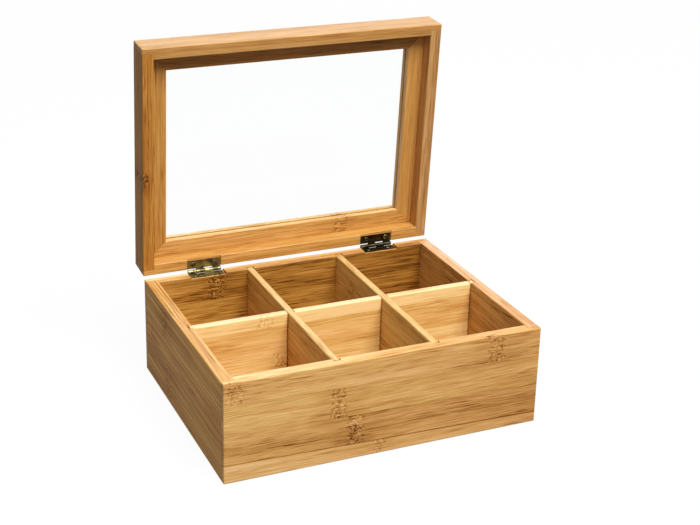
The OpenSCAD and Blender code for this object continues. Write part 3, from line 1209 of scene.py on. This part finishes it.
@dataclass
class ButtHinge:
    """One stamped brass hinge with its pin and four screws, in millimetres about the pin's middle."""

    side: str
    middle_x: float
    leaf_brass: BrassFinish
    screw_brass: BrassFinish
    length: float = 24.0
    leaf_reach: float = 8.0
    leaf_t: float = 0.7
    leaf_low: float = -1.45
    notch_reach: float = 2.1
    knuckle_pitch: float = 6.0
    knuckle_len: float = 5.8
    roll_degrees: float = 292.0
    roll_steps: int = 20
    pin_r: float = 0.75
    screw_x: float = 7.75
    screw_y: float = -5.1
    head_r: float = 1.7
    shank_r: float = 0.9
    screw_len: float = 8.0
    point_len: float = 1.6
    point_share: float = 0.12
    dome: float = 0.3
    dome_rises: tuple[float, ...] = (22.0, 44.0, 64.0, 80.0)
    cross_half: float = 1.0
    cross_w: float = 0.5
    cross_depth: float = 0.6
    slot_turns: tuple[float, ...] = (12.0, 58.0, 33.0, 81.0)
    sides: int = 40
    pin_sides: int = 32
    leaf_round: float = 0.1
    screw_round: float = 0.05
    pin_round: float = 0.3
    hole_play: float = 0.05
    cut_past: float = 0.2

    def leaf(self, name: str) -> Piece:
        """A leaf with knuckles 1 and 3 of 4 rolled from its own sheet, and two countersunk holes.

        Args:
            name: Its name.

        Returns:
            The leaf, lying below the pin's axis.
        """
        top = self.leaf_low + self.leaf_t
        half = self.length / 2
        made = block(name, (-half, -self.leaf_reach, self.leaf_low), (half, -self.notch_reach, top))
        along_x = (1.0, 0.0, 0.0)
        middles = [-half + (number + 0.5) * self.knuckle_pitch for number in (0, 2)]
        only(made)
        bpy.ops.object.mode_set(mode="EDIT")
        for middle_x in middles:
            for end in (-0.5, 0.5):
                bpy.ops.mesh.select_all(action="SELECT")
                cut = ((middle_x + end * self.knuckle_len) * MM, 0.0, 0.0)
                bpy.ops.mesh.bisect(plane_co=cut, plane_no=along_x)
        end_edit()
        pick_faces(made, lambda middle, normal: normal.y > SQUARE_ON and any(
            abs(middle.x - middle_x) < 0.5 * self.knuckle_len for middle_x in middles
        ))
        drawn_out(Vector((0.0, self.notch_reach, 0.0)))
        bpy.ops.mesh.spin(
            steps=self.roll_steps, angle=-math.radians(self.roll_degrees), center=(0.0, 0.0, 0.0),
            axis=along_x,
        )
        end_edit(turn_out=True)
        made = carved(made, self.countersink(-self.screw_x), self.countersink(self.screw_x))
        return rounded(made, self.leaf_round)

    def countersink(self, place_x: float) -> Piece:
        """Makes the cutter for a screw's hole, which widens upwards.

        Args:
            place_x: The hole's place along the leaf.

        Returns:
            The cutter, a little longer than the leaf is thick.
        """
        depth = self.leaf_t + 2 * self.cut_past
        spread = (self.head_r - self.shank_r) * depth / self.leaf_t
        narrow = (self.head_r + self.shank_r - spread) / 2 + self.hole_play
        only()
        bpy.ops.mesh.primitive_cone_add(
            vertices=self.sides, radius1=narrow * MM, radius2=(narrow + spread) * MM, depth=depth * MM,
            location=Vector((place_x, self.screw_y, self.leaf_low + self.leaf_t / 2)) * MM,
        )
        return settled(bpy.context.object)

    def screw(self, name: str, slot_turn: float) -> Piece:
        """A countersunk screw with a raised head and a cross recess, its leaf's underside at z 0.

        Args:
            name: Its name.
            slot_turn: Angle of its recess in degrees.

        Returns:
            The screw, point down.
        """
        only()
        bpy.ops.mesh.primitive_circle_add(
            vertices=self.sides, radius=self.head_r * MM, fill_type="NGON",
            location=(0.0, 0.0, self.leaf_t * MM),
        )
        made = settled(bpy.context.object)
        made.name = name
        pick_faces(made, lambda middle, normal: True)
        drawn_out(Vector((0.0, 0.0, -self.leaf_t)), self.shank_r / self.head_r)
        drawn_out(Vector((0.0, 0.0, self.point_len - self.screw_len)))
        drawn_out(Vector((0.0, 0.0, -self.point_len)), self.point_share)
        end_edit()
        pick_faces(made, lambda middle, normal: abs(middle.z - self.leaf_t) < WELD_MM)
        before = 0.0
        for rise in map(math.radians, self.dome_rises):
            lift = self.dome * (math.sin(rise) - math.sin(before))
            drawn_out(Vector((0.0, 0.0, lift)), math.cos(rise) / math.cos(before))
            before = rise
        end_edit(turn_out=True)
        made = rounded(carved(made, self.cross_cutter()), self.screw_round)
        return settled(made, Matrix.Rotation(math.radians(slot_turn), 4, "Z"))

    def cross_cutter(self) -> Piece:
        """Makes the cutter for a cross recess, a post with four arms drawn out of it.

        Returns:
            The cutter, standing in the crown of the head.
        """
        crown = self.leaf_t + self.dome
        half = self.cross_w / 2
        low, high = crown - self.cross_depth, crown + self.cross_depth
        made = block("cross", (-half, -half, low), (half, half, high))
        for side in (Vector((1, 0, 0)), Vector((-1, 0, 0)), Vector((0, 1, 0)), Vector((0, -1, 0))):
            pick_faces(made, lambda middle, normal: (
                normal.dot(side) > SQUARE_ON and middle.dot(side) < self.cross_w
            ))
            drawn_out(side * (self.cross_half - half))
            end_edit()
        return made

    def screw_pair(self, name: str, turns: tuple[float, ...]) -> Piece:
        """Makes the two screws of a leaf.

        Args:
            name: The pair's name.
            turns: Each recess's own angle in degrees.

        Returns:
            The pair, standing in the leaf's holes.
        """
        pair = []
        for end, turn in zip((-1, 1), turns):
            seat = Vector((end * self.screw_x, self.screw_y, self.leaf_low)) * MM
            pair.append(settled(self.screw(f"{name}_{turn:.0f}", turn), Matrix.Translation(seat)))
        return joined_pieces(name, *pair)

    def pin(self, name: str) -> Piece:
        """Makes the pin, its ends rounded over.

        Args:
            name: Its name.

        Returns:
            The pin, lying along X.
        """
        only()
        bpy.ops.mesh.primitive_cylinder_add(
            vertices=self.pin_sides, radius=self.pin_r * MM, depth=self.length * MM,
            rotation=(0.0, math.radians(90.0), 0.0),
        )
        made = settled(bpy.context.object)
        made.name = name
        return rounded(made, self.pin_round, segments=3, sharper=60.0)

    def build(self) -> None:
        """Makes, places and dresses the hinge."""
        plate = self.leaf_brass.material(f"{self.side}_leaf_brass")
        head = self.screw_brass.material(f"{self.side}_screw_brass")
        on_box = Matrix.Translation(Vector((self.middle_x, HINGE_Y_MM, HINGE_Z_MM)) * MM)
        turned_over = Matrix.Rotation(math.radians(180.0), 4, "Y")
        on_lid = swung_open() @ on_box @ turned_over
        places = ("box", on_box, self.slot_turns[:2]), ("lid", on_lid, self.slot_turns[2:])
        for body, place, turns in places:
            leaf = settled(self.leaf(f"{self.side}_{body}_leaf"), place)
            mount(leaf, plate, body, f"{self.side}_hinge_{body}_leaf")
            screws = settled(self.screw_pair(f"{self.side}_{body}_screws", turns), place)
            mount(screws, head, body, f"{self.side}_hinge_{body}_screws")
        pin = settled(self.pin(f"{self.side}_pin"), on_box)
        mount(pin, head, "box", f"{self.side}_hinge_pin")


def main() -> None:
    """Builds the studio, the box, the lid and the hinges."""
    logging.basicConfig(level=logging.INFO, format="%(name)s: %(message)s")
    only()
    bpy.context.scene.view_settings.view_transform = "Standard"
    Studio().build()
    bamboo = BambooFinish()
    CompartmentBox(bamboo).build()
    WindowLid(bamboo, PaneFinish()).build()
    screw_brass = BrassFinish(bright=(160, 150, 114), dull=(62, 56, 38), patch_mm=1.6, roughness=0.18)
    ButtHinge("left", -64.5, BrassFinish(roughness=0.34), screw_brass).build()
    # The right hinge's darker copy of the plating paints its dark reflections: painted shade
    ButtHinge("right", 68.0, BrassFinish(bright=(104, 95, 70), dull=(50, 45, 30)), screw_brass).build()


if __name__ == "__main__":
    main()
